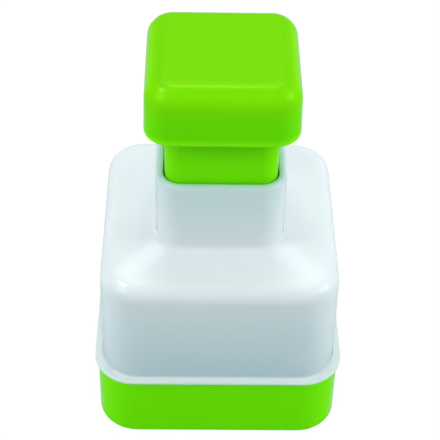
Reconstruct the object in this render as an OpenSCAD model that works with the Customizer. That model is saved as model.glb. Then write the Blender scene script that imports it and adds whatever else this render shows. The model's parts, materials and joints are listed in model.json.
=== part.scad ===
/* [Base tray] */
// Outside width of the square tray
base_w = 86; // [78:0.5:104]
// Height of the tray from the worktop to its rim
base_h = 26.3; // [23:0.1:36]
// Outside radius of the tray's upright corners
base_corner = 14.2; // [11:0.1:18]
// Thickness of the tray's side walls
base_wall = 1.8; // [1.4:0.1:2.4]
// Thickness of the tray's floor
floor_t = 2.2; // [1.5:0.1:3.5]
// Radius along the tray's lower outside edge
base_round = 1; // [0.4:0.1:2]
// Height of the standing rim under the floor
foot_h = 1.2; // [0.6:0.1:2.5]
// Width of the standing rim
foot_w = 5; // [3:0.1:8]
// Radius inside the tray's lower edge, and on the skirt that faces it
cove_r = 0.6; // [0.3:0.1:1]

/* [Housing] */
// How far the lip stands out past the tray's wall
lip_over = 1; // [0.5:0.1:3]
// Thickness of the lip that rests on the tray's rim
lip_t = 1.2; // [0.8:0.1:3]
// Radius along the lip's edges
lip_round = 0.4; // [0.1:0.05:1]
// Radius in the corner between the lip and the side wall
lip_cove = 1.2; // [0.5:0.1:1.4]
// How far the side wall stands in from the tray's wall, at the lip
side_inset = 1.5; // [0.8:0.1:1.5]
// How much each side wall leans in from the lip to the shoulder
side_lean = 0.4; // [0:0.05:0.6]
// Height of the side wall, from the lip to the shoulder's outer edge
side_h = 41.9; // [36:0.1:60]
// Thickness of the side walls and the shoulder
housing_wall = 2; // [1.6:0.1:2.6]
// Radius where the side wall turns into the shoulder
edge_round = 6; // [4.5:0.1:8]
// Height of the shoulder's slope, from its outer edge to the neck
shoulder_rise = 3; // [2:0.1:6]
// Height of the neck above the shoulder
neck_h = 26.7; // [22:0.1:36]
// Thickness of the neck's wall
neck_wall = 2.7; // [1.6:0.05:3]
// Radius along the neck's rim
rim_round = 1.4; // [0.2:0.05:1.5]
// Radius in the corner between the neck and the shoulder
neck_cove = 1.5; // [0.8:0.1:3]
// How far the neck reaches down inside, below the shoulder's top
guide_drop = 8; // [5:0.1:14]
// Thickness of the web that closes the neck's lower end
web_t = 2.4; // [1.6:0.1:4]
// Space between the skirt and the tray's wall
skirt_gap = 0.3; // [0.2:0.05:0.6]
// Space between the skirt's edge and the tray's floor
skirt_lift = 0.4; // [0.3:0.1:1]
// Extra corner radius that keeps the skirt clear of the tray's corners
corner_ease = 1.2; // [0.5:0.1:2]

/* [Knob and stem] */
// Width of the square knob at its foot
knob_w = 51.4; // [48:0.2:60]
// Height of the knob
knob_h = 21; // [18:0.1:30]
// Radius of the knob's upright corners
knob_corner = 9.1; // [8.5:0.1:13]
// How much each side leans in from the knob's foot to its top
knob_lean = 0.4; // [0:0.05:0.8]
// Radius along the knob's top edge
knob_round = 7.3; // [4:0.1:8]
// Radius along the knob's lower edge
knob_edge = 1; // [0.4:0.1:1.5]
// Thickness of the knob's wall
knob_wall = 2.2; // [1.6:0.1:3]
// Width of the square stem
stem_w = 38.2; // [37:0.1:42]
// Radius of the stem's upright corners
stem_corner = 5.8; // [4:0.1:8]
// Thickness of the stem's wall
stem_wall = 1.8; // [1.4:0.1:2.6]
// Running space between the stem and the neck
stem_gap = 0.4; // [0.3:0.05:0.8]
// Thickness of the deck that closes the stem under the knob
deck_t = 2.4; // [1.8:0.1:3.5]
// How far the deck sits above the knob's lower edge
deck_recess = 0.8; // [0.2:0.1:2]
// Space between the deck and the knob's wall
deck_gap = 0.15; // [0.05:0.05:0.4]
// Space left between the stem's end and the web at full press
sleeve_gap = 1; // [0.5:0.1:2]

/* [Press] */
// Travel of the knob and the press plate
stroke = 20; // [15:0.5:24]
// Space left between the knob and the neck's rim at full press
stop_gap = 0.5; // [0.3:0.1:2]
// Space left between the press plate and the tray's floor at full press
floor_gap = 0.6; // [0.4:0.1:2]
// Thickness of the press plate
plate_t = 2.4; // [1.8:0.1:4]
// Space between the press plate and the housing's wall
plate_gap = 0.4; // [0.3:0.05:0.8]
// Height of the press plate's upturned rim, from its food face
plate_rim_h = 7; // [5:0.1:10]
// Thickness of the press plate's rim and ribs
rib_t = 1.6; // [1.2:0.1:2.4]
// Height of the ribs above the press plate
rib_h = 3.6; // [2:0.1:5]
// Radius along the press plate's food edge
plate_round = 1; // [0.4:0.1:1.6]
// Diameter of the press plate's hub and the rod's flange
hub_d = 27; // [26:0.5:32]
// Height of the hub above the press plate
hub_h = 6; // [5:0.1:9]

/* [Rod and bush] */
// Diameter of the plunger rod
rod_d = 14; // [12:0.1:15]
// Running space round the rod in its bush
rod_gap = 0.08; // [0.05:0.01:0.1]
// Thickness of the rod's flange
flange_t = 2.6; // [2:0.1:4]
// Diameter of the spigot that centres the rod in the hub
spigot_d = 9; // [7:0.1:11]
// Length of the spigot
spigot_l = 4; // [2:0.1:4.8]
// Space round a spigot or a screw in its hole
hole_gap = 0.05; // [0.02:0.01:0.1]
// Diameter of the collar that stops the rod under the bush
collar_d = 20; // [19:0.1:22]
// Thickness of the collar
collar_t = 3; // [2:0.1:5]
// Space between the collar and the bush at rest
collar_gap = 0.2; // [0.1:0.05:0.3]
// Thickness of the bush's wall
bush_wall = 2.4; // [1.8:0.1:2.6]
// How far the bush reaches below the web
bush_drop = 8; // [5:0.1:10]
// Thickness of the bush's flange
bush_flange_t = 1.6; // [1.2:0.1:3]
// Height of the bush's collar inside the spring
bush_collar_h = 1.8; // [1:0.1:4]

/* [Return spring] */
// Diameter of the wire
wire_d = 1.6; // [1:0.1:2]
// Number of turns
turns = 9; // [6:1:12]
// Space between the bush's collar and the spring
coil_gap = 0.7; // [0.5:0.1:1.5]
// Space between neighbouring turns at the spring's closed ends
end_gap = 0.6; // [0.5:0.05:1]
// Space between the spring's ends and their seats
seat_gap = 0.15; // [0.1:0.05:0.3]
// How far the bush's flange stands out past the spring
seat_edge = 1.2; // [0.6:0.1:2]

/* [Screws] */
// Diameter of the knob's and the press plate's screws
screw_d = 3; // [2.5:0.1:3.5]
// Length of those screws
screw_l = 10; // [8.5:0.1:12]
// Diameter of their heads
head_d = 5.4; // [5:0.1:6]
// Height of their heads
head_h = 2; // [1.4:0.1:2.6]
// Diameter of the screw in the rod's top
rod_screw_d = 4; // [3.5:0.1:5]
// Length of the rod's screw
rod_screw_l = 16; // [12:0.1:24]
// Diameter of its head
rod_head_d = 7.4; // [6.6:0.1:9]
// Height of its head
rod_head_h = 2.8; // [2:0.1:4]
// Diameter of the washer under the rod's screw
washer_d = 13; // [11:0.1:15]
// Thickness of the washer
washer_t = 1; // [0.6:0.1:2]
// Wall round a screw hole in the knob's posts
post_wall = 2; // [1.4:0.1:3]
// Space from the knob's screw heads to the stem's wall
head_space = 0.8; // [0.4:0.1:1.6]
// Width of the cross recess in a screw head
cross_w = 0.9; // [0.6:0.05:1.2]

/* [Hidden] */
$fn = 64;
loft_fn = 48;
bury = 1;
past = 1;

base_half = base_w / 2;
tray_half = base_half - base_wall;
tray_corner = base_corner - base_wall;
skirt_half = tray_half - skirt_gap;
skirt_corner = tray_corner + corner_ease;
inner_half = skirt_half - housing_wall;
inner_corner = skirt_corner - housing_wall;
side_half = base_half - side_inset;
side_corner = skirt_corner;
lip_half = base_half + lip_over;
lip_corner = base_corner;

stem_half = stem_w / 2;
bore_half = stem_half + stem_gap;
bore_corner = stem_corner + stem_gap;
neck_half = bore_half + neck_wall;
neck_corner = bore_corner + neck_wall;

knob_half = knob_w / 2;
deck_half = knob_half - knob_wall - knob_lean - deck_gap;
deck_corner = knob_corner - knob_wall - knob_lean - deck_gap;
plate_half = inner_half - plate_gap;
plate_corner = inner_corner - plate_gap;

z_floor = foot_h + floor_t;
z_skirt = z_floor + skirt_lift;
z_edge = base_h + lip_t + side_h;
z_neck = z_edge + shoulder_rise;
z_rim = z_neck + neck_h;
z_web = z_neck - guide_drop;
z_web_top = z_web + web_t;
z_sleeve = z_web_top + sleeve_gap + stroke;
z_knob = z_rim + stop_gap + stroke;
z_deck = z_knob + deck_recess;
z_deck_top = z_deck + deck_t;
z_top = z_knob + knob_h;
z_plate = z_floor + floor_gap + stroke;
z_plate_top = z_plate + plate_t;
z_hub = z_plate_top + hub_h;
z_flange = z_hub + flange_t;
z_bush = z_web - bush_drop;
z_seat = z_web_top + bush_flange_t;

// Where the leaning side wall meets its upper round
z_side = base_h + lip_t / 3;
lean_there = side_lean * (z_edge - edge_round - z_side) / (z_edge - z_side);
crown_half = side_half - lean_there;
crown_corner = side_corner - lean_there;
shoulder_run = crown_half - edge_round - neck_half;
slope = shoulder_rise / shoulder_run;

bush_bore = rod_d + 2 * rod_gap;
bush_d = bush_bore + 2 * bush_wall;
coil_in = bush_d + 2 * coil_gap;
coil_d = coil_in + wire_d;
seat_d = coil_in + 2 * wire_d + 2 * seat_edge;

screw_hole = screw_d + 2 * hole_gap;
post_d = screw_hole + 2 * post_wall;
post_at = stem_half - stem_wall - head_space - head_d / 2;
flange_screw_at = (rod_d + hub_d) / 4;

ring_steps = 24;
wire_sides = 6;

green = [0.42, 0.84, 0.03];
milk = [0.80, 0.88, 0.90];
acetal = [0.93, 0.93, 0.90];
steel = [0.72, 0.73, 0.75];

// What lies outside a quarter circle of radius r, in the corner that it rounds
module corner_waste(r) {
    difference() {
        square(r + past);
        circle(r);
    }
}

// Upright section of a wall: w wide at its foot, leaning in by lean, with round upper and lower outside edges
module wall_section(w, low, high, round_top, round_foot, lean) {
    upper_w = w - lean * (high - low - round_top) / (high - low);
    difference() {
        polygon([[0, low], [w, low], [w - lean, high], [0, high]]);
        if (round_top > 0) translate([upper_w - round_top, high - round_top]) corner_waste(round_top);
        if (round_foot > 0) translate([w - round_foot, low + round_foot]) mirror([0, 1]) corner_waste(round_foot);
    }
}

// Takes a section round a square, turning it about the four corner axes at a distance of core from the middle
module around_square(core) {
    for (quarter = [0:3]) rotate(90 * quarter) translate([core, core]) {
        rotate_extrude(angle = 90) children();
        rotate([90, 0, 0]) linear_extrude(2 * core) children();
    }
}

// Solid square block with round upright corners and rounded edges
module rounded_block(half, corner, low, high, round_top = 0, round_foot = 0, lean = 0) {
    core = half - corner;
    around_square(core) wall_section(corner, low, high, round_top, round_foot, lean);
    translate([-core, -core, low]) cube([2 * core, 2 * core, high - low]);
}

// Four copies at the corners of a square
module at_corners(half) {
    for (x = [-half, half], y = [-half, half]) translate([x, y]) children();
}

// Pan-head screw with its seat at z = 0, its shank upward and a cross recess below
module pan_screw(shank_d, shank_l, pan_d, pan_h) {
    translate([0, 0, -pan_h / 4]) cylinder(d = shank_d, h = pan_h / 4 + shank_l);
    difference() {
        rotate_extrude() wall_section(pan_d / 2, -pan_h, 0, 0, pan_h / 2, 0);
        for (turn = [0, 90]) rotate(turn) translate([-pan_d / 4, -cross_w / 2, -pan_h - past])
            cube([pan_d / 2, cross_w, past + pan_h / 2]);
    }
}

module base_tray() color(green) difference() {
    rounded_block(base_half, base_corner, 0, base_h, lip_round, base_round);
    rounded_block(tray_half, tray_corner, z_floor, base_h + past, 0, cove_r);
    rounded_block(base_half - foot_w, base_corner - foot_w, -past, foot_h);
}

// Loft from the housing's square edge up to the neck, its hips softened by the corner radii
module shoulder_loft(start_half, start_corner, sunk) {
    edge_half = start_half - edge_round + bury;
    edge_corner = start_corner - edge_round + bury;
    top_half = neck_half - bury;
    top_corner = neck_corner - bury;
    sheet = 0.01;
    hull() {
        translate([0, 0, z_edge - bury * slope - sunk]) at_corners(edge_half - edge_corner)
            cylinder(r = edge_corner, h = sheet, $fn = loft_fn);
        translate([0, 0, z_neck + bury * slope - sunk]) at_corners(top_half - top_corner)
            cylinder(r = top_corner, h = sheet, $fn = loft_fn);
    }
}

// Hollow corner section between the neck and the shoulder, its round sunk just into the slope
module cove_section() {
    sink = 0.05;
    centre_z = neck_cove * (sqrt(1 + slope * slope) - slope - sink);
    difference() {
        translate([neck_corner - bury, z_neck - bury]) square([bury + neck_cove, bury + centre_z]);
        translate([neck_corner + neck_cove, z_neck + centre_z]) circle(neck_cove);
    }
}

// Hollow corner section between the lip and the side wall, its round sunk just into both
module lip_cove_section() {
    sink = 0.05 * lip_cove;
    reach = lip_cove - sink;
    top = base_h + lip_t;
    difference() {
        translate([side_corner - bury, top - bury]) square(bury + reach);
        translate([side_corner + reach, top + reach]) circle(lip_cove);
    }
}

module housing() color(milk) difference() {
    union() {
        difference() {
            union() {
                rounded_block(skirt_half, skirt_corner, z_skirt, base_h + lip_t * 2 / 3, 0, cove_r);
                rounded_block(lip_half, lip_corner, base_h, base_h + lip_t, lip_round, lip_round);
                rounded_block(side_half, side_corner, z_side, z_edge, edge_round, 0, side_lean);
                around_square(side_half - side_corner) lip_cove_section();
                shoulder_loft(crown_half, crown_corner, 0);
            }
            rounded_block(inner_half, inner_corner, z_skirt - past, z_edge - housing_wall, edge_round - housing_wall);
            shoulder_loft(skirt_half, skirt_corner, housing_wall);
        }
        rounded_block(neck_half, neck_corner, z_web, z_rim, rim_round);
        around_square(neck_half - neck_corner) cove_section();
    }
    rounded_block(bore_half, bore_corner, z_web_top, z_rim + past);
    translate([0, 0, z_web - past]) cylinder(d = bush_d + 2 * hole_gap, h = web_t + 2 * past);
}

module guide_bush() color(acetal) difference() {
    union() {
        translate([0, 0, z_bush]) cylinder(d = bush_d, h = z_seat + bush_collar_h - z_bush);
        translate([0, 0, z_web_top]) cylinder(d = seat_d, h = bush_flange_t);
    }
    translate([0, 0, z_bush - past]) cylinder(d = bush_bore, h = z_seat + bush_collar_h - z_bush + 2 * past);
}

// Height of the wire's centre after some turns: close at both ends, even between
function coil_z(turn) =
    let (
        foot = z_seat + seat_gap + wire_d / 2,
        head = z_deck - seat_gap - wire_d / 2,
        close = wire_d + end_gap,
        even = (head - foot - 2 * close) / (turns - 2)
    )
    turn < 1 ? foot + close * turn : turn > turns - 1 ? head - close * (turns - turn)
        : foot + close + even * (turn - 1);

function coil_point(turn, out, up) =
    [(coil_d / 2 + out) * cos(360 * turn), (coil_d / 2 + out) * sin(360 * turn), coil_z(turn) + up];

module return_spring() color(steel) {
    last = turns * ring_steps;
    centres = [for (step = [0:last]) coil_point(step / ring_steps, 0, 0)];
    points = [
        for (step = [0:last], side = [0:wire_sides - 1])
            let (angle = 360 * side / wire_sides)
            coil_point(step / ring_steps, cos(angle) * wire_d / 2, sin(angle) * wire_d / 2)
    ];
    walls = [
        for (step = [0:last - 1], side = [0:wire_sides - 1])
            let (
                a = step * wire_sides + side,
                b = step * wire_sides + (side + 1) % wire_sides,
                c = a + wire_sides,
                d = b + wire_sides
            )
            each [[a, b, c], [b, d, c]]
    ];
    ends = [
        for (side = [1:wire_sides - 2])
            let (far = last * wire_sides)
            each [[0, side + 1, side], [far, far + side, far + side + 1]]
    ];
    gaps = [
        for (i = [0:last], j = [i + ring_steps / 2:last])
            norm(centres[i] - centres[j]) - wire_d
    ];
    echo(return_spring_least_gap_mm = min(gaps));
    polyhedron(points, concat(walls, ends));
}

module stem_sleeve() color(green) difference() {
    union() {
        difference() {
            rounded_block(stem_half, stem_corner, z_sleeve, z_deck + deck_t / 2);
            rounded_block(stem_half - stem_wall, stem_corner - stem_wall, z_sleeve - past, z_deck);
        }
        rounded_block(deck_half, deck_corner, z_deck, z_deck_top);
        translate([0, 0, z_deck - bush_collar_h]) difference() {
            cylinder(d = bush_d, h = bush_collar_h + deck_t / 2);
            translate([0, 0, -past]) cylinder(d = rod_d + 2 * hole_gap, h = bush_collar_h + past);
        }
    }
    translate([0, 0, z_deck - past]) cylinder(d = rod_screw_d + 2 * hole_gap, h = deck_t + 2 * past);
    translate([0, 0, z_deck - past]) at_corners(post_at) cylinder(d = screw_hole, h = deck_t + 2 * past);
}

module knob_cap() color(green) {
    difference() {
        rounded_block(knob_half, knob_corner, z_knob, z_top, knob_round, knob_edge, knob_lean);
        rounded_block(
            knob_half - knob_wall, knob_corner - knob_wall, z_knob - past, z_top - knob_wall,
            knob_round - knob_wall, 0, knob_lean
        );
    }
    translate([0, 0, z_deck_top]) at_corners(post_at) difference() {
        cylinder(d = post_d, h = z_top - knob_wall / 2 - z_deck_top);
        translate([0, 0, -past]) cylinder(d = screw_hole, h = screw_l - deck_t + 2 * past);
    }
}

module knob_screws() color(steel) {
    translate([0, 0, z_deck]) at_corners(post_at) pan_screw(screw_d, screw_l, head_d, head_h);
}

module plunger_rod() color(acetal) difference() {
    union() {
        translate([0, 0, z_hub]) cylinder(d = rod_d, h = z_deck - z_hub);
        translate([0, 0, z_hub]) cylinder(d = hub_d, h = flange_t);
        translate([0, 0, z_hub - spigot_l]) cylinder(d = spigot_d, h = spigot_l + flange_t);
        translate([0, 0, z_bush - collar_gap - collar_t]) cylinder(d = collar_d, h = collar_t);
    }
    translate([0, 0, z_deck - rod_screw_l]) cylinder(d = rod_screw_d + 2 * hole_gap, h = rod_screw_l + past);
    for (turn = [0:90:270]) rotate(turn) translate([flange_screw_at, 0, z_hub - past])
        cylinder(d = screw_hole, h = flange_t + 2 * past);
}

module rod_washer() color(steel) translate([0, 0, z_deck_top]) difference() {
    cylinder(d = washer_d, h = washer_t);
    translate([0, 0, -past]) cylinder(d = rod_screw_d + 2 * hole_gap, h = washer_t + 2 * past);
}

module rod_screw() color(steel) translate([0, 0, z_deck_top + washer_t]) mirror([0, 0, 1])
    pan_screw(rod_screw_d, rod_screw_l, rod_head_d, rod_head_h);

module press_plate() color(green) difference() {
    union() {
        difference() {
            rounded_block(plate_half, plate_corner, z_plate, z_plate + plate_rim_h, 0, plate_round);
            rounded_block(
                plate_half - rib_t, plate_corner - rib_t, z_plate_top, z_plate + plate_rim_h + past
            );
        }
        translate([0, 0, z_plate + plate_t / 2]) cylinder(d = hub_d, h = plate_t / 2 + hub_h);
        for (turn = [0:90:270]) {
            reach = plate_half - rib_t / 2;
            bend = plate_corner - rib_t / 2;
            diagonal = (reach - bend) * sqrt(2) + bend;
            rib_z = plate_t / 2 + rib_h;
            rotate(turn) translate([spigot_d, -rib_t / 2, z_plate + plate_t / 2])
                cube([reach - spigot_d, rib_t, rib_z]);
            rotate(turn + 45) translate([spigot_d, -rib_t / 2, z_plate + plate_t / 2])
                cube([diagonal - spigot_d, rib_t, rib_z]);
        }
    }
    translate([0, 0, z_hub - spigot_l]) cylinder(d = spigot_d + 2 * hole_gap, h = spigot_l + past);
    for (turn = [0:90:270]) rotate(turn) translate([flange_screw_at, 0, z_flange - screw_l])
        cylinder(d = screw_hole, h = screw_l);
}

module plate_screws() color(steel) {
    for (turn = [0:90:270]) rotate(turn) translate([flange_screw_at, 0, z_flange]) mirror([0, 0, 1])
        pan_screw(screw_d, screw_l, head_d, head_h);
}

base_tray();
housing();
guide_bush();
return_spring();
stem_sleeve();
knob_cap();
knob_screws();
plunger_rod();
rod_washer();
rod_screw();
press_plate();
plate_screws();
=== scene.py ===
import json
import math
import bmesh
import bpy
from mathutils import Matrix, Vector

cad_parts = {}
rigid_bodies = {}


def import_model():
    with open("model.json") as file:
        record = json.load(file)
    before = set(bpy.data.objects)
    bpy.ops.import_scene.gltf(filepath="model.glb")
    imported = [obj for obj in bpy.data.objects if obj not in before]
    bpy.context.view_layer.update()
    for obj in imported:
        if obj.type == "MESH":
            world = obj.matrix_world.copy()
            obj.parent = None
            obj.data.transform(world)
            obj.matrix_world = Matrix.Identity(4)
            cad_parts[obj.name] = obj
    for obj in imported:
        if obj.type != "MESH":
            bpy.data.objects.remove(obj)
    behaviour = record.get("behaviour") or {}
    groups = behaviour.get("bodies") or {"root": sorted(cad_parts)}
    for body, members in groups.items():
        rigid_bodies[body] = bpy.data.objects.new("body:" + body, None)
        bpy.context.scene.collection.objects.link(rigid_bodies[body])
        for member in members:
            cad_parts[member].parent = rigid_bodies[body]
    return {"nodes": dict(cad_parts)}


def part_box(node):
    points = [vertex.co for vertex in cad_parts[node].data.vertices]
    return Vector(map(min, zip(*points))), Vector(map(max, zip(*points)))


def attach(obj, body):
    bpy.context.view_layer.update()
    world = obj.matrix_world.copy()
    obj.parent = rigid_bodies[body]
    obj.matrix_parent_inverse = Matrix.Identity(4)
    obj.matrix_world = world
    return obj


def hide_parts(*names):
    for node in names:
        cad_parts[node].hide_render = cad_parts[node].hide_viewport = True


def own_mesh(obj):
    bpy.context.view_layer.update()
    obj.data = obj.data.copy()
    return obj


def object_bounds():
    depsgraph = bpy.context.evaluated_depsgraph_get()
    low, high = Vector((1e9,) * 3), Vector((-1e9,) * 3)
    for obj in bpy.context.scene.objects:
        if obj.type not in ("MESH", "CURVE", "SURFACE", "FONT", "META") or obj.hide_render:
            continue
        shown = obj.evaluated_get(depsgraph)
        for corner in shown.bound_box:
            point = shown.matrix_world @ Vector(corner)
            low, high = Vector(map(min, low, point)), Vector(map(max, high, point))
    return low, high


for leftover in list(bpy.data.objects):
    bpy.data.objects.remove(leftover)

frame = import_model()
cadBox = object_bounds()
nodes = frame["nodes"]
mm = 0.001
print("frame loaded with", len(nodes), "CAD nodes")


def addObject(name, data):
    made = bpy.data.objects.new(name, data)
    bpy.context.scene.collection.objects.link(made)
    return made


# a direction away from the press: turn goes from the front towards the right, rise up from the floor
def directionAt(turn, rise):
    turn, rise = math.radians(turn), math.radians(rise)
    return Vector((math.sin(turn) * math.cos(rise), -math.cos(turn) * math.cos(rise), math.sin(rise)))


# camera: the picture was cropped low, so the lens axis lies above its middle
photoCamera = {
    "imageSize": 440,
    "focalPixels": 1402.4,
    "axisRow": 159.1,
    "axisColumn": 220.75,
    "sensor": 36.0,
    "clipStart": 20 * mm,
    "pitch": 39.93,
    "turn": -1.26,
    "roll": 1.36,
    "distance": 485.0 * mm,
    "aimHeight": 93.5 * mm,
}


def placeCamera(spec):
    back = directionAt(spec["turn"], spec["pitch"])
    right = Vector((0, 0, 1)).cross(back).normalized()
    up = back.cross(right)
    roll = math.radians(spec["roll"])
    across = right * math.cos(roll) + up * math.sin(roll)
    upward = up * math.cos(roll) - right * math.sin(roll)
    lens = bpy.data.cameras.new("photoCamera")
    lens.sensor_width = spec["sensor"]
    lens.lens = spec["focalPixels"] / spec["imageSize"] * spec["sensor"]
    lens.shift_y = spec["axisRow"] / spec["imageSize"] - 0.5
    lens.shift_x = 0.5 - spec["axisColumn"] / spec["imageSize"]
    lens.clip_start = spec["clipStart"]
    camera = addObject("photoCamera", lens)
    turned = Matrix((across, upward, back)).transposed().to_4x4()
    place = Vector((0, 0, spec["aimHeight"])) + back * spec["distance"]
    camera.matrix_world = Matrix.Translation(place) @ turned
    bpy.context.scene.camera = camera


placeCamera(photoCamera)
print("camera placed")


# node helpers, for shaders and Geometry Nodes alike
def addNode(tree, kind, values=None, **settings):
    made = tree.nodes.new(kind)
    for key, value in settings.items():
        setattr(made, key, value)
    for key, value in (values or {}).items():
        feed(tree, value, made.inputs[key])
    return made


# another node's output is linked to the socket, and a plain value is set on it
def feed(tree, value, socket):
    if isinstance(value, bpy.types.NodeSocket):
        tree.links.new(value, socket)
    else:
        socket.default_value = value


def calc(tree, operation, *values):
    return addNode(tree, "ShaderNodeMath", dict(enumerate(values)), operation=operation).outputs[0]


def rescale(tree, value, fromMin, fromMax, toMin=0.0, toMax=1.0):
    values = {"Value": value, "From Min": fromMin, "From Max": fromMax, "To Min": toMin, "To Max": toMax}
    return addNode(tree, "ShaderNodeMapRange", values).outputs["Result"]


def noise(tree, place, scale, detail, roughness=0.5):
    values = {"Vector": place, "Scale": scale, "Detail": detail, "Roughness": roughness}
    return addNode(tree, "ShaderNodeTexNoise", values).outputs["Fac"]


def splitPlace(tree, place):
    return addNode(tree, "ShaderNodeSeparateXYZ", {"Vector": place}).outputs


# the Mix node has a set of sockets for each kind of data: 6, 7 and 2 are those for colours
def mixColours(tree, factor, first, second, how="MIX"):
    first, second = ((*colour, 1.0) if isinstance(colour, tuple) else colour for colour in (first, second))
    values = {0: factor, 6: first, 7: second}
    return addNode(tree, "ShaderNodeMix", values, data_type="RGBA", blend_type=how).outputs[2]


def mixShaders(tree, factor, first, second, surface):
    both = addNode(tree, "ShaderNodeMixShader", {0: factor, 1: first.outputs[0], 2: second.outputs[0]})
    feed(tree, both.outputs[0], surface.inputs["Surface"])


def bumpFrom(tree, height, strength, depth, shader):
    bump = addNode(tree, "ShaderNodeBump", {"Strength": strength, "Distance": depth, "Height": height})
    feed(tree, bump.outputs["Normal"], shader.inputs["Normal"])


def clearTree(owner):
    owner.use_nodes = True
    owner.node_tree.nodes.clear()
    return owner.node_tree


# shader groups: each takes a place on the piece and some sizes, and gives values from 0 to 1
def startGroup(name, inputs, outputs):
    group = bpy.data.node_groups.new(name, "ShaderNodeTree")
    group.interface.new_socket("Place", in_out="INPUT", socket_type="NodeSocketVector")
    for side, labels in (("INPUT", inputs), ("OUTPUT", outputs)):
        for label in labels:
            group.interface.new_socket(label, in_out=side, socket_type="NodeSocketFloat")
    return group, addNode(group, "NodeGroupInput").outputs, addNode(group, "NodeGroupOutput").inputs


def useGroup(tree, group, values):
    return addNode(tree, "ShaderNodeGroup", values, node_tree=group).outputs


# moulded plastic: slow colour drift, patches of gloss and the mould's fine spark-eroded grain
mouldSkinSpec = {
    "layers": {
        "Drift": {"sizedBy": "Drift Scale", "times": 1.0, "detail": 3.0},
        "Gloss": {"sizedBy": "Drift Scale", "times": 3.5, "detail": 5.0},
        "Grain": {"sizedBy": "Grain Scale", "times": 1.0, "detail": 2.0},
    },
    "roughness": 0.55,
    "glossEdges": (0.3, 0.7),
    "grainStrength": 0.05,
    "grainDepth": 0.06 * mm,
}


def buildMouldSkin(spec):
    group, given, result = startGroup("mouldSkin", ("Drift Scale", "Grain Scale"), spec["layers"])
    for output, layer in spec["layers"].items():
        scale = calc(group, "MULTIPLY", given[layer["sizedBy"]], layer["times"])
        pattern = noise(group, given["Place"], scale, layer["detail"], spec["roughness"])
        feed(group, pattern, result[output])
    return group


# hairline scratches from handling, in two crossing directions
hairlineSpec = {
    "turns": (0.45, -0.8),
    "tilt": (0.2, 0.35),
    "stretch": (1.0, 0.02, 1.0),
    "detail": 1.0,
    "edges": (0.52, 0.76),
}


def buildHairlines(spec):
    group, given, result = startGroup("hairlines", ("Fineness",), ("Scratch",))
    sets = []
    for turn in spec["turns"]:
        values = {"Vector": given["Place"], "Rotation": (*spec["tilt"], turn), "Scale": spec["stretch"]}
        laid = addNode(group, "ShaderNodeMapping", values).outputs["Vector"]
        lines = noise(group, laid, given["Fineness"], spec["detail"])
        sets.append(rescale(group, lines, *spec["edges"]))
    feed(group, calc(group, "MAXIMUM", *sets), result["Scratch"])
    return group


# dulling along the edge that the press stands on, broken up into patches
standingRubSpec = {"patchScale": 420.0, "patchDetail": 4.0, "patchEdges": (0.42, 0.66)}


def buildStandingRub(spec):
    group, given, result = startGroup("standingRub", ("Height",), ("Rub",))
    low = rescale(group, splitPlace(group, given["Place"])["Z"], 0.0, given["Height"], 1.0, 0.0)
    patches = noise(group, given["Place"], spec["patchScale"], spec["patchDetail"])
    broken = rescale(group, patches, *spec["patchEdges"])
    feed(group, calc(group, "MULTIPLY", low, broken), result["Rub"])
    return group


mouldSkin = buildMouldSkin(mouldSkinSpec)
hairlines = buildHairlines(hairlineSpec)
standingRub = buildStandingRub(standingRubSpec)


def startMaterial(name, shaderValues):
    material = bpy.data.materials.new(name)
    tree = clearTree(material)
    surface = addNode(tree, "ShaderNodeOutputMaterial")
    shader = addNode(tree, "ShaderNodeBsdfPrincipled", shaderValues)
    feed(tree, shader.outputs["BSDF"], surface.inputs["Surface"])
    return material, tree, shader, addNode(tree, "ShaderNodeTexCoord").outputs["Object"]


def findNode(tree, kind):
    return next(made for made in tree.nodes if made.type == kind)


# the gloss of a plastic takes on some of its colour, and of a green one loses it at a grazing angle
def tintGloss(tree, shader, spec):
    values = {key: shader.inputs[key].links[0].from_socket for key in ("Roughness", "Normal")}
    share = addNode(tree, "ShaderNodeFresnel", {"IOR": spec["reflection"], "Normal": values["Normal"]})
    mirror = addNode(tree, "ShaderNodeBsdfGlossy", {"Color": (*spec["reflectionTint"], 1.0), **values})
    if "grazeTint" in spec:
        graze = rescale(tree, share.outputs["Fac"], *spec["grazeFrom"])
        paler = mixColours(tree, graze, spec["reflectionTint"], spec["grazeTint"])
        feed(tree, paler, mirror.inputs["Color"])
    mixShaders(tree, share.outputs["Fac"], shader, mirror, findNode(tree, "OUTPUT_MATERIAL"))


def buildPlastic(name, spec, overlay=None):
    material, tree, shader, place = startMaterial(name, spec["shader"])
    sizes = {"Drift Scale": spec["driftScale"], "Grain Scale": spec["grainScale"]}
    skin = useGroup(tree, mouldSkin, {"Place": place, **sizes})
    lines = useGroup(tree, hairlines, {"Place": place, "Fineness": spec["scratchFineness"]})
    faint = calc(tree, "MULTIPLY", lines["Scratch"], spec["scratchShare"])
    colour = mixColours(tree, skin["Drift"], spec["deep"], spec["light"])
    colour = mixColours(tree, faint, colour, spec["scuffed"])
    if overlay:
        colour = overlay(tree, place, spec, colour)
    feed(tree, colour, shader.inputs["Base Color"])
    patchy = rescale(tree, skin["Gloss"], *mouldSkinSpec["glossEdges"], *spec["gloss"])
    feed(tree, calc(tree, "ADD", patchy, faint), shader.inputs["Roughness"])
    bumpFrom(tree, skin["Grain"], mouldSkinSpec["grainStrength"], mouldSkinSpec["grainDepth"], shader)
    if "reflectionTint" in spec:
        tintGloss(tree, shader, spec)
    return material


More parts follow.
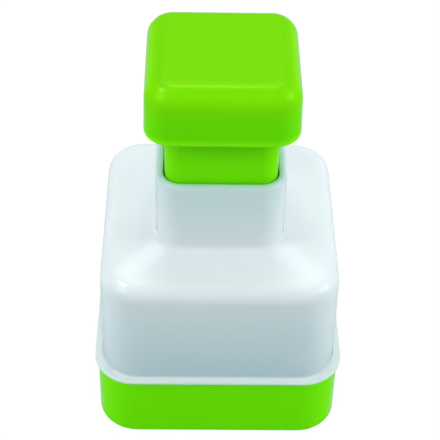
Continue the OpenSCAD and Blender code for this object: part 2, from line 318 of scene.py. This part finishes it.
# lime-green moulded plastic, with a soft gloss
limeFinish = {
    "shader": {"Specular IOR Level": 0.0},
    "deep": (0.143, 0.770, 0.0002),
    "light": (0.152, 0.800, 0.0004),
    "scuffed": (0.215, 0.740, 0.0200),
    "gloss": (0.28, 0.32),
    "reflection": 1.40,
    "reflectionTint": (0.53, 0.60, 0.09),
    "grazeFrom": (0.10, 0.32),
    "grazeTint": (0.55, 0.62, 0.52),
    "driftScale": 38.0,
    "grainScale": 3200.0,
    "scratchFineness": 6500.0,
    "scratchShare": 0.012,
}
# painted light and shade by height: each tint begins at its first height and is full at its second
knobFinish = {
    **limeFinish,
    # painted light: the knob's base colour differs from the other lime parts to match how light falls on it
    "deep": (0.168, 0.680, 0.0001),
    "light": (0.178, 0.705, 0.0002),
    # painted shade down the sides below the top edge, a painted highlight along the lower edge and painted
    # shade on the top
    "paintedLightByHeight": (
        ((136 * mm, 128 * mm), (0.66, 1.04, 1.0)),
        ((122.8 * mm, 121.0 * mm), (1.7, 1.16, 3.0)),
        ((138.4 * mm, 140.4 * mm), (0.81, 0.825, 1.0)),
    ),
}
# painted shadow of the knob on the stem's top, darker towards the knob
stemFinish = {**limeFinish, "paintedLightByHeight": (((107 * mm, 114 * mm), (0.76, 0.86, 0.5)),)}
trayFinish = {
    **limeFinish,
    # painted light: the tray's base colour differs from the other lime parts to match how light falls on it
    "deep": (0.138, 0.790, 0.0001),
    "light": (0.147, 0.815, 0.0002),
    "reflection": 1.30,
    "rubHeight": 1.4 * mm,
    "rubShare": 0.4,
    # painted highlight along the tray's top edge, paler towards the brim
    "brimHighlightFrom": (24.0 * mm, 25.6 * mm),
    "brimHighlightColour": (0.200, 0.760, 0.060),
}


# paints light and shade by height, as multiplied tints
def paintLightByHeight(tree, place, spec, colour):
    height = splitPlace(tree, place)["Z"]
    for heights, tint in spec["paintedLightByHeight"]:
        colour = mixColours(tree, rescale(tree, height, *heights), colour, tint, "MULTIPLY")
    return colour


# the tray's foot is rubbed, and its brim gets a painted highlight
def rubFootPaintBrimHighlight(tree, place, spec, colour):
    rub = useGroup(tree, standingRub, {"Place": place, "Height": spec["rubHeight"]})
    colour = mixColours(tree, calc(tree, "MULTIPLY", rub["Rub"], spec["rubShare"]), colour, spec["scuffed"])
    brim = rescale(tree, splitPlace(tree, place)["Z"], *spec["brimHighlightFrom"])
    return mixColours(tree, brim, colour, spec["brimHighlightColour"])


limePlastic = buildPlastic("limePlastic", limeFinish)
limeKnobPlastic = buildPlastic("limeKnobPlastic", knobFinish, paintLightByHeight)
limeStemPlastic = buildPlastic("limeStemPlastic", stemFinish, paintLightByHeight)
limeTrayPlastic = buildPlastic("limeTrayPlastic", trayFinish, rubFootPaintBrimHighlight)

# milky plastic of the housing: light goes a few millimetres into it
milkFinish = {
    "shader": {
        "Subsurface Radius": (0.9, 1.1, 1.2),
        "Subsurface Scale": 2.2 * mm,
        "Specular IOR Level": 0.0,
    },
    "deep": (0.720, 0.750, 0.783),
    "light": (0.742, 0.770, 0.803),
    "scuffed": (0.790, 0.815, 0.840),
    "gloss": (0.21, 0.25),
    "reflection": 1.45,
    "reflectionTint": (0.60, 0.64, 0.65),
    "driftScale": 30.0,
    "grainScale": 2600.0,
    "scratchFineness": 6000.0,
    "scratchShare": 0.010,
    # painted shade: the wall darker towards the bottom, less on the corners
    "lowShadeFrom": (60 * mm, 28 * mm),
    "lowShadeTint": (0.72, 0.82, 0.84),
    # painted shade from the lower half of the shoulder's edge downward
    "shoulderShadeFrom": (69 * mm, 63 * mm),
    "shoulderShadeTint": (0.85, 0.94, 0.945),
    "cornerReach": (20 * mm, 36 * mm),
    "cornerShare": 0.35,
    # painted shadow of the knob, darker up the neck
    "neckShadowFrom": (68 * mm, 96 * mm),
    "neckShadowTint": (0.80, 0.94, 0.92),
    # painted shade on the rim's top and painted green light from the stem at the bore
    "rimCore": 13.3 * mm,
    "rimReach": (6.2 * mm, 7.5 * mm),
    "rimFrom": (97.4 * mm, 98.4 * mm),
    "rimShadeAndGreenLight": ((0.89, 0.91, 0.92), (0.66, 0.84, 0.58)),
    # painted light on the lip: the tray's green on its lower face and the wall's painted shade on its top
    "lipEdges": ((26.15 * mm, 26.3 * mm), (27.6 * mm, 28.3 * mm)),
    "lightWithin": 0.55,
    "lipBlend": (26.3 * mm, 27.45 * mm),
    "lipGreenLightColour": (0.440, 0.795, 0.430),
    "lipTopShadeColour": (0.655, 0.725, 0.715),
}


# 1 in a band of heights, with soft edges
def betweenHeights(tree, height, edges):
    (under, low), (high, over) = edges
    return calc(tree, "MULTIPLY", rescale(tree, height, under, low), rescale(tree, height, over, high))


# 1 at the neck's bore and 0 at its outside, by the distance past a square core
def nearBore(tree, place, spec):
    core = spec["rimCore"]
    for operation, value in (
        ("MULTIPLY", (1.0, 1.0, 0.0)), ("ABSOLUTE", (0.0, 0.0, 0.0)),
        ("SUBTRACT", (core, core, 0.0)), ("MAXIMUM", (0.0, 0.0, 0.0)),
    ):
        moved = addNode(tree, "ShaderNodeVectorMath", {0: place, 1: value}, operation=operation)
        place = moved.outputs["Vector"]
    away = addNode(tree, "ShaderNodeVectorMath", {0: place}, operation="LENGTH").outputs["Value"]
    inner, outer = spec["rimReach"]
    return rescale(tree, away, outer, inner)


# the painted low shade is full on the flat sides and less on the rounded corners, which take light from two
# sides
def offCorners(tree, parts, spec):
    nearest = calc(tree, "MINIMUM", *(calc(tree, "ABSOLUTE", parts[axis]) for axis in "XY"))
    return rescale(tree, nearest, *spec["cornerReach"], 1.0, 1.0 - spec["cornerShare"])


# painted shade and light on the housing: the wall darker low down and on the neck, and a painted green
# light from stem and tray on the rim and the lip
def paintWallShade(tree, place, spec, colour):
    parts = splitPlace(tree, place)
    height = parts["Z"]
    fade = calc(tree, "MULTIPLY", rescale(tree, height, *spec["lowShadeFrom"]), offCorners(tree, parts, spec))
    rimShadeAndLight = mixColours(tree, nearBore(tree, place, spec), *spec["rimShadeAndGreenLight"])
    for share, tint in (
        (rescale(tree, height, *spec["shoulderShadeFrom"]), spec["shoulderShadeTint"]),
        (fade, spec["lowShadeTint"]),
        (rescale(tree, height, *spec["neckShadowFrom"]), spec["neckShadowTint"]),
        (rescale(tree, height, *spec["rimFrom"]), rimShadeAndLight),
    ):
        colour = mixColours(tree, share, colour, tint, "MULTIPLY")
    upLip = rescale(tree, height, *spec["lipBlend"])
    lipColour = mixColours(tree, upLip, spec["lipGreenLightColour"], spec["lipTopShadeColour"])
    onLip = betweenHeights(tree, height, spec["lipEdges"])
    within = rescale(tree, onLip, 0.0, 1.0, spec["lightWithin"], 0.0)
    feed(tree, within, findNode(tree, "BSDF_PRINCIPLED").inputs["Subsurface Weight"])
    return mixColours(tree, onLip, colour, lipColour)


milkPlastic = buildPlastic("milkPlastic", milkFinish, paintWallShade)

# natural sliding plastic of the rod and the bush
slideFinish = {
    "shader": {"Specular IOR Level": 0.45},
    "deep": (0.760, 0.755, 0.715),
    "light": (0.810, 0.805, 0.770),
    "scuffed": (0.640, 0.635, 0.610),
    "gloss": (0.38, 0.50),
    "driftScale": 60.0,
    "grainScale": 3600.0,
    "scratchFineness": 5000.0,
    "scratchShare": 0.25,
}
slidePlastic = buildPlastic("slidePlastic", slideFinish)

# bright drawn and rolled steel
steelFinish = {
    "shader": {"Metallic": 1.0},
    "tone": ((0.46, 0.47, 0.49), (0.60, 0.61, 0.63)),
    "gloss": (0.20, 0.34),
    "drawStretch": (1.0, 1.0, 6.0),
    "drawScale": 900.0,
    "drawDetail": 4.0,
    "lineStrength": 0.08,
    "lineDepth": 0.03 * mm,
}


def buildSteel(spec):
    material, tree, shader, place = startMaterial("brightSteel", spec["shader"])
    drawn = addNode(tree, "ShaderNodeMapping", {"Vector": place, "Scale": spec["drawStretch"]})
    lines = noise(tree, drawn.outputs["Vector"], spec["drawScale"], spec["drawDetail"])
    feed(tree, mixColours(tree, lines, *spec["tone"]), shader.inputs["Base Color"])
    feed(tree, rescale(tree, lines, 0.0, 1.0, *spec["gloss"]), shader.inputs["Roughness"])
    bumpFrom(tree, lines, spec["lineStrength"], spec["lineDepth"], shader)
    return material


brightSteel = buildSteel(steelFinish)
print("materials built")


# mesh helpers: every ring has the same number of points, so rings of any size join with quads
meshShape = {"cornerSteps": 16, "bendSteps": 8, "hold": 0.9 * mm, "weld": 0.0005 * mm, "sharpAngle": 50}


def squareRing(half, corner, z):
    core = half - corner
    held = core - min(meshShape["hold"], core / 3)  # a short flat keeps most of its length
    quarter = [(half, -held), (half, held)]
    for step in range(meshShape["cornerSteps"] + 1):
        angle = math.pi / 2 * step / meshShape["cornerSteps"]
        quarter.append((core + corner * math.cos(angle), core + corner * math.sin(angle)))
    ring = list(quarter)
    for _ in range(3):
        quarter = [(-y, x) for x, y in quarter]
        ring += quarter
    return [Vector((x, y, z)) for x, y in ring]


def roundRing(radius, z, like):
    return [Vector((p.x, p.y, 0)).normalized() * radius + Vector((0, 0, z)) for p in like]


# stations round an arc, whose centre is at a height and at an offset from a section's size
def bend(section, offset, z, radius, first, last):
    half, corner = (size + offset for size in section)
    stations = []
    for step in range(meshShape["bendSteps"] + 1):
        angle = math.radians(first + (last - first) * step / meshShape["bendSteps"])
        out = radius * math.cos(angle)
        stations.append((half + out, corner + out, z + radius * math.sin(angle)))
    return stations


# extra stations just inside the ends of each long straight stretch, so that flats shade flat
def holdFlats(stations):
    hold = meshShape["hold"]
    held = []
    for start, end in zip(stations, stations[1:]):
        held.append(start)
        length = math.hypot(end[0] - start[0], end[2] - start[2])
        if length > 3 * hold:  # room for both and as much between them
            for t in (hold / length, 1 - hold / length):
                held.append(tuple(a + (b - a) * t for a, b in zip(start, end)))
    return held + [stations[-1]]


def meshFrom(work, name):
    mesh = bpy.data.meshes.new(name)
    work.to_mesh(mesh)
    work.free()
    return mesh


# quads from each row of points to the next, and from the last to the first of a closed set
def bridgeRows(name, rows, closed, weld):
    work = bmesh.new()
    made = [[work.verts.new(point) for point in row] for row in rows]
    pairs = list(zip(made, made[1:]))
    if closed:
        pairs.append((made[-1], made[0]))
    for low, high in pairs:
        for i, _ in enumerate(low):
            j = (i + 1) % len(low)
            work.faces.new((low[i], low[j], high[j], high[i]))
    bmesh.ops.remove_doubles(work, verts=work.verts, dist=weld)
    bmesh.ops.recalc_face_normals(work, faces=work.faces)
    return meshFrom(work, name)


def addPiece(name, mesh, material):
    mesh.shade_smooth()
    mesh.set_sharp_from_angle(angle=math.radians(meshShape["sharpAngle"]))
    mesh.materials.clear()
    mesh.materials.append(material)
    return addObject(name, mesh)


# housing: one wall, followed from the skirt's foot over the lip, shoulder and neck and back inside
housingSpec = {
    "skirt": (40.9 * mm, 13.6 * mm),  # half width and corner radius, here and in the next three
    "side": (41.5 * mm, 13.6 * mm),
    "neck": (22.2 * mm, 8.9 * mm),
    "bore": (19.5 * mm, 6.2 * mm),
    "sideLean": 0.34 * mm,
    "wall": 2.0 * mm,
    "lipThick": 1.2 * mm,
    "lipCorner": 14.2 * mm,
    "lipRound": 0.4 * mm,
    "lipCove": 1.2 * mm,
    "edgeTop": 69.4 * mm,
    "edgeRound": 6.0 * mm,
    "neckFoot": 72.4 * mm,
    "neckCove": 1.5 * mm,
    "rimRound": 1.4 * mm,
    "webLow": 64.4 * mm,
    "webTop": 66.8 * mm,
    "bushHole": 9.53 * mm,
    "smallRound": 0.4 * mm,
}


def buildHousing(s):
    low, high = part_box("housing")
    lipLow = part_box("base_tray")[1].z
    lipTop = lipLow + s["lipThick"]
    lip = (high.x, s["lipCorner"])
    skirt, side, neck, bore = (s[key] for key in ("skirt", "side", "neck", "bore"))
    small, wall, edge, foot = (s[key] for key in ("smallRound", "wall", "edgeRound", "neckFoot"))
    lipRound, lipCove, cove, rim = (s[key] for key in ("lipRound", "lipCove", "neckCove", "rimRound"))
    underCove = 2 * small
    edgeIn = -s["sideLean"] - edge
    edgeZ = s["edgeTop"] - edge

    # the shoulder's slope leaves the edge's arc at a tangent and goes up to the neck's foot
    across, up = neck[0] - side[0] - edgeIn, foot - edgeZ
    tilt = math.atan2(across, up) + math.acos(edge / math.hypot(across, up))
    slope, stretch = math.tan(tilt), 1 / math.cos(tilt)
    arcEnd = 90 - math.degrees(tilt)
    underFoot = foot - wall * stretch

    outer = bend(skirt, -small, low.z + small, small, -90, 0)
    outer += [(*skirt, lipLow)]
    outer += bend(lip, -lipRound, lipLow + lipRound, lipRound, -90, 0)
    outer += bend(lip, -lipRound, lipTop - lipRound, lipRound, 0, 90)
    outer += bend(side, lipCove, lipTop + lipCove, lipCove, 270, 180)
    outer += bend(side, edgeIn, edgeZ, edge, 0, arcEnd)
    outer += bend(neck, cove, foot + cove * (stretch - slope), cove, 180 + arcEnd, 180)
    outer += bend(neck, -rim, high.z - rim, rim, 0, 90)
    outer += bend(bore, small, high.z - small, small, 90, 180)
    outer += bend(bore, -small, s["webTop"] + small, small, 0, -90)

    inner = bend(neck, -small, s["webLow"] + small, small, -90, 0)
    inner += bend(neck, underCove, underFoot - underCove * (stretch + slope), underCove, 180, arcEnd)
    inner += bend(skirt, -edge, edgeZ, edge - wall, arcEnd, 0)
    inner += bend(skirt, small - wall, low.z + small, small, 180, 270)

    upper = [squareRing(*station) for station in holdFlats(outer)]
    lower = [squareRing(*station) for station in holdFlats(inner)]
    hole = s["bushHole"]
    web = [
        roundRing(hole + small, s["webTop"], upper[-1]),
        roundRing(hole, s["webTop"] - small, upper[-1]),
        roundRing(hole, s["webLow"] + small, upper[-1]),
        roundRing(hole + small, s["webLow"], upper[-1]),
    ]
    mesh = bridgeRows("housingShell", upper + web + lower, True, meshShape["weld"])
    return addPiece("housingShell", mesh, milkPlastic)


housingShell = buildHousing(housingSpec)
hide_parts("housing")
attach(housingShell, "housing")
print("housing built")


# Geometry Nodes helpers
def startTree(name, inputs):
    tree = bpy.data.node_groups.new(name, "GeometryNodeTree")
    tree.interface.new_socket("Geometry", in_out="OUTPUT", socket_type="NodeSocketGeometry")
    for label, kind in {**inputs, "Material": "Material"}.items():
        tree.interface.new_socket(label, in_out="INPUT", socket_type="NodeSocket" + kind)
    return tree, addNode(tree, "NodeGroupInput").outputs, addNode(tree, "NodeGroupOutput").inputs


def endTree(tree, given, result, geometry):
    real = addNode(tree, "GeometryNodeRealizeInstances", {"Geometry": geometry}).outputs["Geometry"]
    dressed = addNode(tree, "GeometryNodeSetMaterial", {"Geometry": real, "Material": given["Material"]})
    feed(tree, dressed.outputs["Geometry"], result["Geometry"])
    return tree


def onCircle(tree, angle, radius, height):
    x, y = (calc(tree, "MULTIPLY", calc(tree, way, angle), radius) for way in ("COSINE", "SINE"))
    return addNode(tree, "ShaderNodeCombineXYZ", {"X": x, "Y": y, "Z": height}).outputs["Vector"]


def plainMesh(holder):
    graph = bpy.context.evaluated_depsgraph_get()
    return bpy.data.meshes.new_from_object(holder.evaluated_get(graph), depsgraph=graph)


def growPiece(name, tree, values, material):
    holder = addObject(name + "Holder", bpy.data.meshes.new(name + "Holder"))
    grown = holder.modifiers.new("grown", "NODES")
    grown.node_group = tree
    for item in tree.interface.items_tree:
        if item.in_out == "INPUT":
            grown[item.identifier] = material if item.name == "Material" else values[item.name]
    mesh = plainMesh(holder)
    mesh.name = name
    holder.modifiers.remove(grown)
    bpy.data.objects.remove(holder)
    return addPiece(name, mesh, material)


# return spring: a wire helix, wound close for its first and last turn
springSpec = {
    "Wire Diameter": 1.6 * mm,
    "Turns": 9.0,
    "End Pitch": 2.2 * mm,
    "Steps": 9 * 48 + 1,  # 48 to a turn
    "Wire Sides": 14,
}


def buildSpringTree():
    sizes = ("Wire Diameter", "Coil Radius", "Turns", "End Pitch", "Foot", "Head")
    inputs = {**dict.fromkeys(sizes, "Float"), "Steps": "Int", "Wire Sides": "Int"}
    tree, given, result = startTree("coilSpring", inputs)
    turns, pitch = given["Turns"], given["End Pitch"]
    along = addNode(tree, "GeometryNodeSplineParameter").outputs["Factor"]
    turn = calc(tree, "MULTIPLY", along, turns)
    lastTurn = calc(tree, "SUBTRACT", turns, 1.0)
    rise = calc(tree, "SUBTRACT", given["Head"], given["Foot"])
    openRise = calc(tree, "SUBTRACT", rise, calc(tree, "MULTIPLY", pitch, 2.0))
    height = given["Foot"]
    for start, end, gain in ((0.0, 1.0, pitch), (1.0, lastTurn, openRise), (lastTurn, turns, pitch)):
        height = calc(tree, "ADD", height, rescale(tree, turn, start, end, 0.0, gain))
    place = onCircle(tree, calc(tree, "MULTIPLY", turn, 2 * math.pi), given["Coil Radius"], height)
    line = addNode(tree, "GeometryNodeCurvePrimitiveLine").outputs["Curve"]
    path = addNode(tree, "GeometryNodeResampleCurve", {"Curve": line, "Count": given["Steps"]})
    coil = addNode(tree, "GeometryNodeSetPosition", {"Geometry": path.outputs["Curve"], "Position": place})
    radius = calc(tree, "MULTIPLY", given["Wire Diameter"], 0.5)
    values = {"Resolution": given["Wire Sides"], "Radius": radius}
    section = addNode(tree, "GeometryNodeCurvePrimitiveCircle", values).outputs["Curve"]
    values = {"Curve": coil.outputs["Geometry"], "Profile Curve": section, "Fill Caps": True}
    wire = addNode(tree, "GeometryNodeCurveToMesh", values)
    return endTree(tree, given, result, wire.outputs["Mesh"])


springLow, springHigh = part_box("return_spring")
halfWire = springSpec["Wire Diameter"] / 2
springSpec["Coil Radius"] = springHigh.x - halfWire
springSpec["Foot"] = springLow.z + halfWire
springSpec["Head"] = springHigh.z - halfWire
returnSpring = growPiece("returnSpring", buildSpringTree(), springSpec, brightSteel)
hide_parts("return_spring")
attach(returnSpring, "housing")
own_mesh(returnSpring)
print("spring wound")


# pan-head screws, seat at z = 0 and shank upward, with a cut thread and a cross recess
screwKinds = {
    "small": {
        "shank": 3.0 * mm, "length": 10.0 * mm, "head": 5.4 * mm, "rise": 2.0 * mm, "pitch": 1.1 * mm,
    },
    "large": {
        "shank": 4.0 * mm, "length": 16.0 * mm, "head": 7.4 * mm, "rise": 2.8 * mm, "pitch": 1.4 * mm,
    },
}
screwShape = {
    "around": 28,
    "headSteps": 8,
    "stepsPerTurn": 6,
    "threadDepth": 0.16,
    "plainTop": 0.8 * mm,
    "crossWidth": 0.9 * mm,
    "seatEdge": 0.02 * mm,
    "pointLength": 0.3,  # of the shank's diameter
    "tipWidth": 0.35,  # of the shank's diameter
    "tipLength": 0.1 * mm,
    "pole": 0.0005 * mm,
    "weld": 0.002 * mm,
}


def screwProfile(s):
    shape, headRadius, headRound = screwShape, s["head"] / 2, s["rise"] / 2
    rings = [(shape["pole"], -s["rise"])]
    for step in range(shape["headSteps"] + 1):
        angle = math.radians(-90 + 90 * step / shape["headSteps"])
        r = headRadius - headRound + headRound * math.cos(angle)
        rings.append((r, -s["rise"] + headRound + headRound * math.sin(angle)))
    rings += [(headRadius, -shape["seatEdge"]), (headRadius - shape["seatEdge"], 0.0)]
    return rings + [(s["shank"] / 2, 0.0), (s["shank"] / 2, shape["plainTop"])]


def screwBlank(name, s):
    shape, around, radius = screwShape, screwShape["around"], s["shank"] / 2
    rows = [[ring] * around for ring in screwProfile(s)]
    threaded = s["length"] - shape["plainTop"] - s["shank"] * shape["pointLength"]
    count = int(threaded / s["pitch"] * shape["stepsPerTurn"])
    for i in range(1, count + 1):
        z = shape["plainTop"] + threaded * i / count
        row = []
        for k in range(around):
            phase = (z / s["pitch"] - k / around) % 1.0
            cut = 1 - abs(2 * phase - 1)
            row.append((radius * (1 - shape["threadDepth"] * cut), z))
        rows.append(row)
    rows.append([(radius * shape["tipWidth"], s["length"] - shape["tipLength"])] * around)
    rows.append([(shape["pole"], s["length"])] * around)
    angles = [2 * math.pi * k / around for k in range(around)]
    points = [[(r * math.cos(a), r * math.sin(a), z) for a, (r, z) in zip(angles, row)] for row in rows]
    blank = addObject(name, bridgeRows(name, points, False, shape["weld"]))
    cutCross(blank, s)
    return blank


def cutCross(blank, s):
    work = bmesh.new()
    span, width, depth = s["head"] / 2, screwShape["crossWidth"], s["rise"]
    for size in ((span, width, depth), (width, span, depth)):
        centre = Matrix.Translation((0, 0, -s["rise"])) @ Matrix.Diagonal((*size, 1.0))
        bmesh.ops.create_cube(work, size=1.0, matrix=centre)
    cutter = addObject("crossCutter", meshFrom(work, "crossCutter"))
    cut = blank.modifiers.new("cross", "BOOLEAN")
    cut.operation = "DIFFERENCE"
    cut.solver = "EXACT"
    cut.use_self = True
    cut.object = cutter
    blank.data = plainMesh(blank)
    blank.modifiers.remove(cut)
    bpy.data.objects.remove(cutter)


def buildScrewTree():
    sizes = ("Ring Radius", "First Angle", "Seat", "Flip")
    inputs = {"Screw": "Object", "Count": "Int", **dict.fromkeys(sizes, "Float")}
    tree, given, result = startTree("screwSet", inputs)
    number = addNode(tree, "GeometryNodeInputIndex").outputs["Index"]
    step = calc(tree, "DIVIDE", 2 * math.pi, given["Count"])
    angle = calc(tree, "ADD", calc(tree, "MULTIPLY", number, step), given["First Angle"])
    place = onCircle(tree, angle, given["Ring Radius"], given["Seat"])
    points = addNode(tree, "GeometryNodePoints", {"Count": given["Count"], "Position": place})
    lean = addNode(tree, "ShaderNodeCombineXYZ", {"X": given["Flip"]}).outputs["Vector"]
    screw = addNode(tree, "GeometryNodeObjectInfo", {"Object": given["Screw"]}).outputs["Geometry"]
    values = {"Points": points.outputs["Points"], "Instance": screw, "Rotation": lean}
    copies = addNode(tree, "GeometryNodeInstanceOnPoints", values)
    return endTree(tree, given, result, copies.outputs["Instances"])


# where each set sits: the posts of the knob, the flange of the rod and the rod's top
screwSets = {
    "knob_screws": {"kind": "small", "count": 4, "firstAngle": 45, "headDown": True},
    "plate_screws": {"kind": "small", "count": 4, "firstAngle": 0, "headDown": False},
    "rod_screw": {"kind": "large", "count": 1, "firstAngle": 0, "headDown": False},
}
screwTree = buildScrewTree()
blanks = {kind: screwBlank(kind + "Screw", sizes) for kind, sizes in screwKinds.items()}
for node, spec in screwSets.items():
    low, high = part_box(node)
    sizes = screwKinds[spec["kind"]]
    firstAngle = math.radians(spec["firstAngle"])
    values = {
        "Screw": blanks[spec["kind"]],
        "Count": spec["count"],
        "Ring Radius": (high.x - sizes["head"] / 2) / math.cos(firstAngle),
        "First Angle": firstAngle,
        "Seat": low.z + sizes["rise"] if spec["headDown"] else high.z - sizes["rise"],
        "Flip": 0.0 if spec["headDown"] else math.pi,
    }
    screws = growPiece(node.replace("_", "") + "Set", screwTree, values, brightSteel)
    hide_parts(node)
    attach(screws, "plunger")
for blank in blanks.values():
    bpy.data.objects.remove(blank)
print("screws set")


# CAD nodes that keep their own shape
keptFinish = {
    "base_tray": limeTrayPlastic,
    "knob_cap": limeKnobPlastic,
    "stem_sleeve": limeStemPlastic,
    "press_plate": limePlastic,
    "guide_bush": slidePlastic,
    "plunger_rod": slidePlastic,
    "rod_washer": brightSteel,
}
for name, finish in keptFinish.items():
    nodes[name].material_slots[0].material = finish
print("CAD nodes finished")


# floor, light and background
stageSpec = {
    "floorSize": 6.0,
    "floorColour": (0.62, 0.63, 0.63, 1.0),
    "floorWhite": 0.92,
    "floorGlow": 1.04,
    "ambient": 0.40,
    "ambientTint": (0.85, 1.0, 1.01, 1.0),
    "background": (1.0, 1.0, 1.0, 1.0),
    "lampDistance": 1.0,
}
# a lamp that isn't mirrored only lights, and one with no lighting only gives gloss
lampSpec = {
    "overhead": {"turn": 180, "rise": 77, "size": 0.17, "power": 1.0},
    "left": {"turn": -72, "rise": 30, "size": 0.4, "power": 4.4, "mirrored": False},
    "right": {"turn": 75, "rise": 28, "size": 0.5, "power": 5.4},
    "leftHigh": {"turn": -85, "rise": 59, "size": 0.3, "power": 0.8, "mirrored": False},
    "leftSpark": {"turn": -85, "rise": 59, "size": 0.2, "power": 4.4, "lighting": False},
    "lineSpark": {"turn": 180, "rise": 74, "size": 0.08, "power": 1.1, "lighting": False},
    "knobSpark": {"turn": -55, "rise": 32, "size": 0.6, "power": 4.8, "lighting": False},
    "rightSpark": {"turn": 102, "rise": 60, "size": 0.2, "power": 0.6},
    "backLeft": {"turn": -160, "rise": 55, "size": 0.26, "power": 1.3},
    "backRight": {"turn": 158, "rise": 54, "size": 0.26, "power": 1.2},
    "front": {"turn": 0, "rise": 22, "size": 0.4, "power": 0.65, "mirrored": False},
}


# 1 where the camera sees a surface, straight or by way of gloss or glass
def seenDirectly(tree):
    path = addNode(tree, "ShaderNodeLightPath").outputs
    seen = calc(tree, "MAXIMUM", path["Is Camera Ray"], path["Is Glossy Ray"])
    return calc(tree, "MAXIMUM", seen, path["Is Transmission Ray"])


def buildFloor(spec):
    material = bpy.data.materials.new("paleFloor")
    tree = clearTree(material)
    surface = addNode(tree, "ShaderNodeOutputMaterial")
    matte = addNode(tree, "ShaderNodeBsdfDiffuse", {"Color": spec["floorColour"]})
    white = addNode(tree, "ShaderNodeEmission", {"Strength": spec["floorGlow"]})
    share = calc(tree, "MULTIPLY", seenDirectly(tree), spec["floorWhite"])
    mixShaders(tree, share, matte, white, surface)
    half = spec["floorSize"] / 2
    mesh = bpy.data.meshes.new("paleFloor")
    corners = [(-half, -half, 0), (half, -half, 0), (half, half, 0), (-half, half, 0)]
    mesh.from_pydata(corners, [], [(0, 1, 2, 3)])
    mesh.materials.append(material)
    floor = addObject("paleFloor", mesh)


def buildWorld(spec):
    world = bpy.data.worlds.new("whiteStudio")
    bpy.context.scene.world = world
    tree = clearTree(world)
    result = addNode(tree, "ShaderNodeOutputWorld")
    ambient = {"Color": spec["ambientTint"], "Strength": spec["ambient"]}
    fill = addNode(tree, "ShaderNodeBackground", ambient)
    white = addNode(tree, "ShaderNodeBackground", {"Color": spec["background"], "Strength": 1.0})
    mixShaders(tree, seenDirectly(tree), fill, white, result)


def hangLamp(name, spec, aim, distance):
    lamp = bpy.data.lights.new(name, "AREA")
    lamp.shape = "SQUARE"
    lamp.size = spec["size"]
    lamp.energy = spec["power"]
    hung = addObject(name, lamp)
    hung.visible_glossy = spec.get("mirrored", True)
    hung.visible_diffuse = spec.get("lighting", True)
    away = directionAt(spec["turn"], spec["rise"])
    hung.location = aim + away * distance
    hung.rotation_mode = "QUATERNION"
    hung.rotation_quaternion = (-away).to_track_quat("-Z", "Y")


buildFloor(stageSpec)
buildWorld(stageSpec)
middle = (cadBox[0] + cadBox[1]) / 2
for name, spec in lampSpec.items():
    hangLamp(name, spec, middle, stageSpec["lampDistance"])
bpy.context.scene.view_settings.view_transform = "Standard"
print("stage lit")
